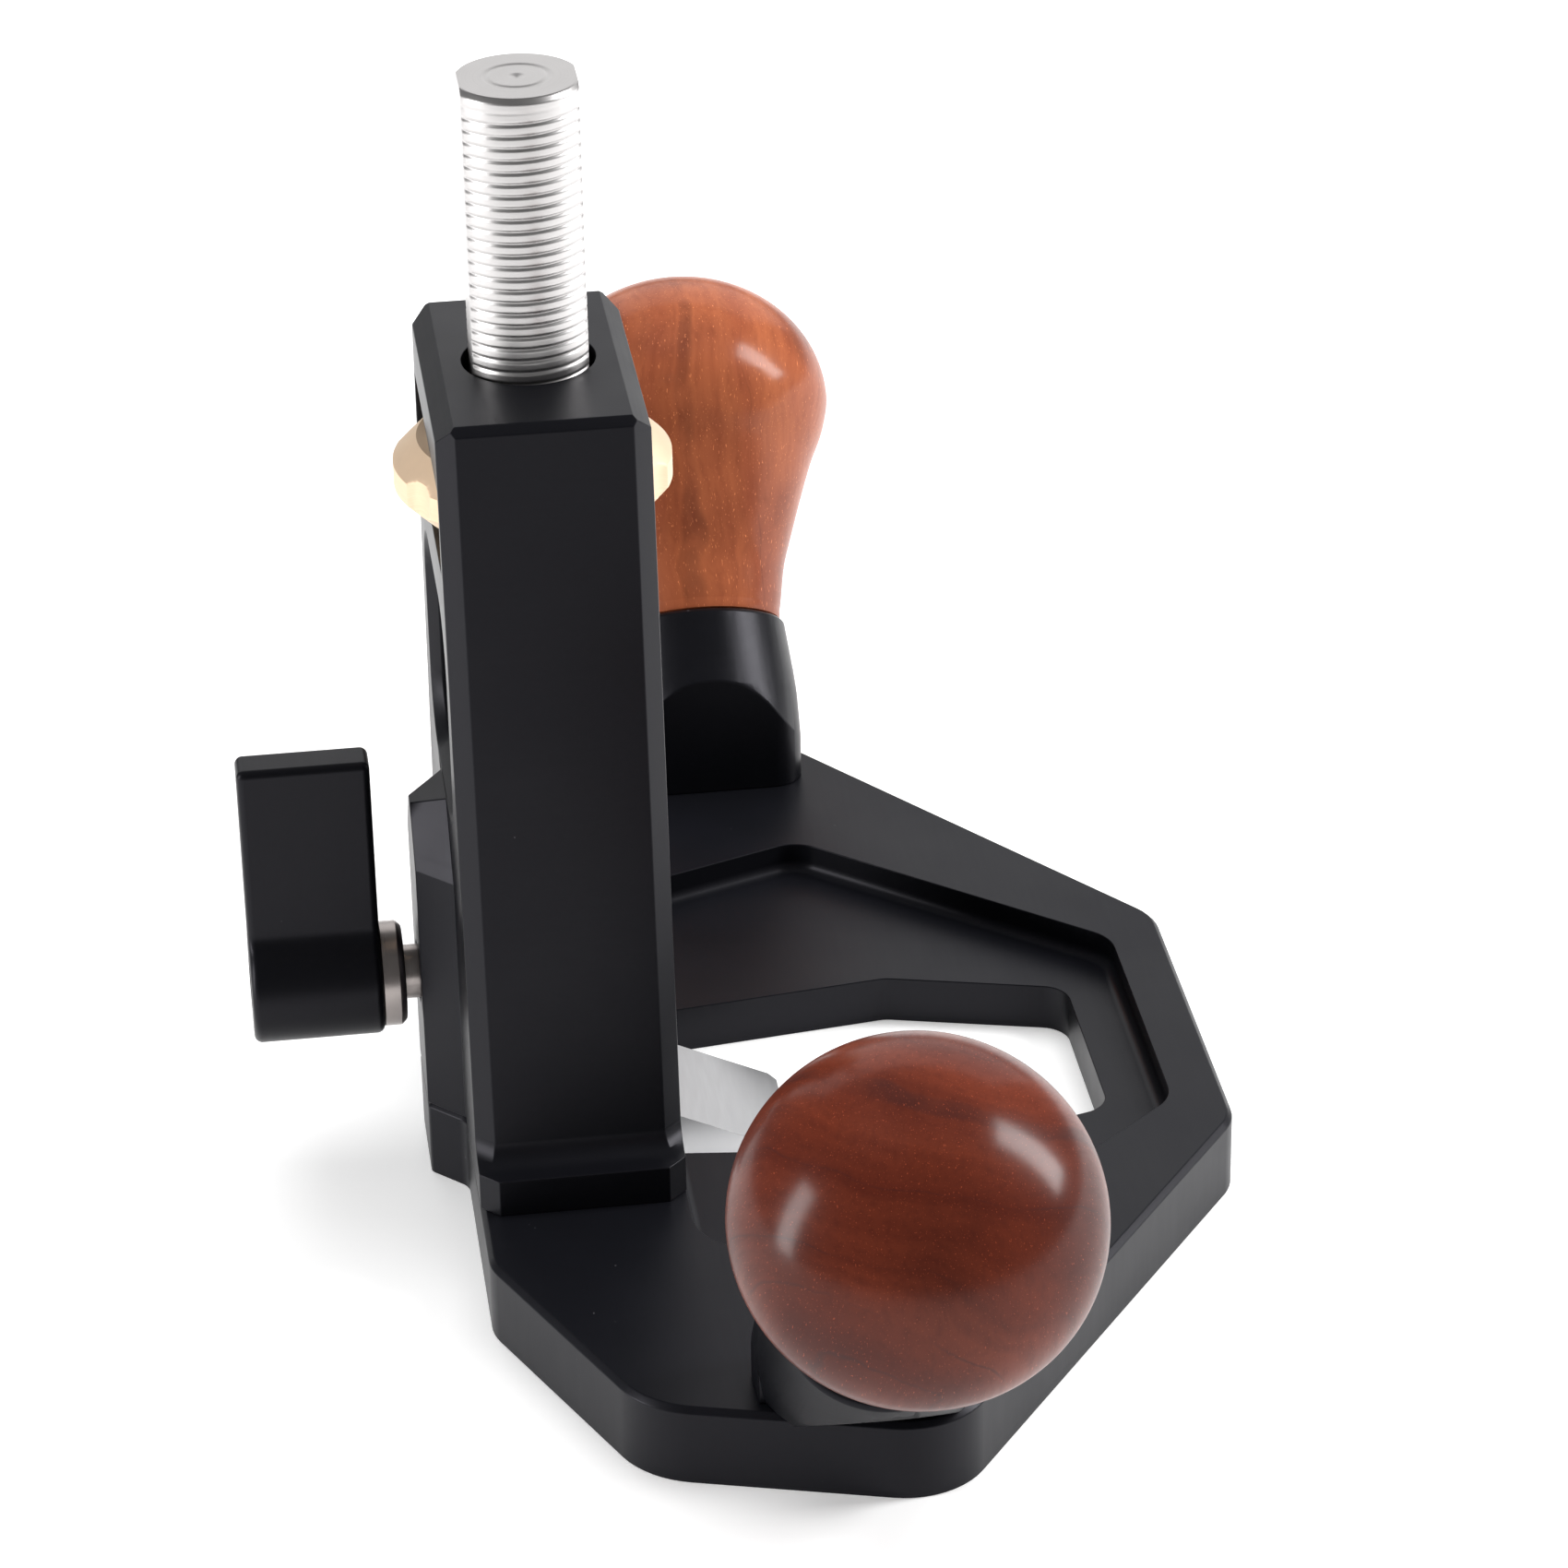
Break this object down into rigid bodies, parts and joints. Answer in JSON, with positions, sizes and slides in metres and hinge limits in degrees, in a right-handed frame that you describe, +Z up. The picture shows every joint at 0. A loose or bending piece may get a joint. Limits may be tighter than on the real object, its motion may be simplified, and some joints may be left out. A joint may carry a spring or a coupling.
{
  "type": "hand router plane",
  "caption": "Two-handled hand router plane with a tapered tower, a threaded post moved by a brass wheel, a broad bevelled cutter and a side lock lever.",
  "frame": {"origin": "middle of the whole tool's footprint, on the sole", "axes": "+X along the handles, +Y the way the cutter points, +Z up along the post"},
  "size_m": [0.2558, 0.1224, 0.1463],
  "materials": {
    "black_anodised_base": "satin black anodised",
    "black_anodised_tower": "satin black anodised",
    "black_anodised_boss": "satin black anodised",
    "black_anodised_lever": "satin black anodised",
    "fixing_steel": "bright zinc",
    "washer_steel": "ground",
    "stainless_post": "bright turned",
    "stainless_lock": "bright turned",
    "ground_blade": "satin ground",
    "brass_wheel": "satin turned",
    "brass_turned": "turned",
    "polished_wood_right": "polished varnish",
    "polished_wood_left": "polished varnish"
  },
  "bodies": {
    "plane_body": {"base_plate": "black_anodised_base", "tower_frame": "black_anodised_tower", "tower_screws": "fixing_steel", "tower_dowels": "fixing_steel", "right_handle_boss": "black_anodised_boss", "left_handle_boss": "black_anodised_boss", "boss_screws": "fixing_steel", "right_knob": "polished_wood_right", "left_knob": "polished_wood_left", "right_knob_insert": "brass_turned", "left_knob_insert": "brass_turned", "right_knob_stud": "fixing_steel", "left_knob_stud": "fixing_steel", "lower_thrust_washer": "washer_steel", "upper_thrust_washer": "washer_steel"},
    "depth_wheel": {"depth_nut": "brass_wheel"},
    "post": {"threaded_post": "stainless_post", "cutter": "ground_blade", "cutter_screw": "fixing_steel", "cutter_keys": "fixing_steel"},
    "lock_pad": {"lock_tip": "brass_turned"},
    "lock": {"lock_screw": "stainless_lock", "lock_collar": "stainless_lock", "lock_lever": "black_anodised_lever", "lever_screw": "fixing_steel"}
  },
  "joints": [
    {"name": "nut_spin", "type": "hinge", "parent": "plane_body", "child": "depth_wheel", "pos_m": [0, -0.0225, 0.0961], "axis": [0, 0, 1], "range_deg": [-1201, 4801]},
    {"name": "post_slide", "type": "slide", "parent": "plane_body", "child": "post", "axis": [0, 0, 1], "range_m": [-0.02, 0.005]},
    {"name": "tip_press", "type": "slide", "parent": "plane_body", "child": "lock_pad", "axis": [0, 1, 0], "range_m": [-0.0005, 0.000297]},
    {"name": "lever_turn", "type": "hinge", "parent": "lock_pad", "child": "lock", "pos_m": [0, -0.053, 0.0263], "axis": [0, 1, 0], "range_deg": [-140, 85]}
  ],
  "couplings": [
    {"joint": "nut_spin", "follows": "post_slide", "rad_per_m": -4188.8},
    {"joint": "tip_press", "follows": "lever_turn", "m_per_rad": 0.00019894}
  ]
}
